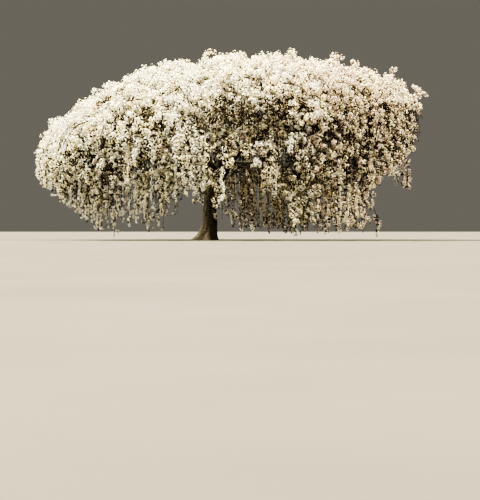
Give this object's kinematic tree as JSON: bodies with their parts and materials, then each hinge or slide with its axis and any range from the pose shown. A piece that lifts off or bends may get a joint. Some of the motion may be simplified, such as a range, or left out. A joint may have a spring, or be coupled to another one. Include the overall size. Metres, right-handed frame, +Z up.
{
  "type": "white cherry blossom tree",
  "caption": "Weeping cherry tree in full white blossom: a short leaning trunk, arching boughs and a broad crown of hanging blossom masses.",
  "frame": {"origin": "middle of the flat cut under the trunk, at ground level", "axes": "+Z up, +X to the right along the crown's longer side, +Y away from the front"},
  "size_m": [14.9367, 12.8856, 7.2061],
  "materials": {
    "bark": "rough dark cherry bark",
    "blossom": "soft white petals over fine dark twigs"
  },
  "bodies": {
    "root": {"trunk": "bark", "leader": "bark", "bough_1": "bark", "side_bough_1": "bark", "upper_bough_1": "bark", "bough_2": "bark", "side_bough_2": "bark", "upper_bough_2": "bark", "bough_3": "bark", "side_bough_3": "bark", "upper_bough_3": "bark", "bough_4": "bark", "side_bough_4": "bark", "upper_bough_4": "bark", "bough_5": "bark", "side_bough_5": "bark", "upper_bough_5": "bark", "bough_6": "bark", "side_bough_6": "bark", "upper_bough_6": "bark", "low_bough": "bark", "top_blossom": "blossom", "outer_blossom_1": "blossom", "outer_blossom_2": "blossom", "upper_blossom_1": "blossom", "outer_blossom_3": "blossom", "outer_blossom_4": "blossom", "upper_blossom_2": "blossom", "outer_blossom_5": "blossom", "outer_blossom_6": "blossom", "upper_blossom_3": "blossom", "outer_blossom_7": "blossom", "outer_blossom_8": "blossom", "upper_blossom_4": "blossom", "outer_blossom_9": "blossom", "outer_blossom_10": "blossom", "upper_blossom_5": "blossom", "outer_blossom_11": "blossom", "outer_blossom_12": "blossom", "upper_blossom_6": "blossom", "inner_blossom": "blossom"}
  },
  "joints": []
}
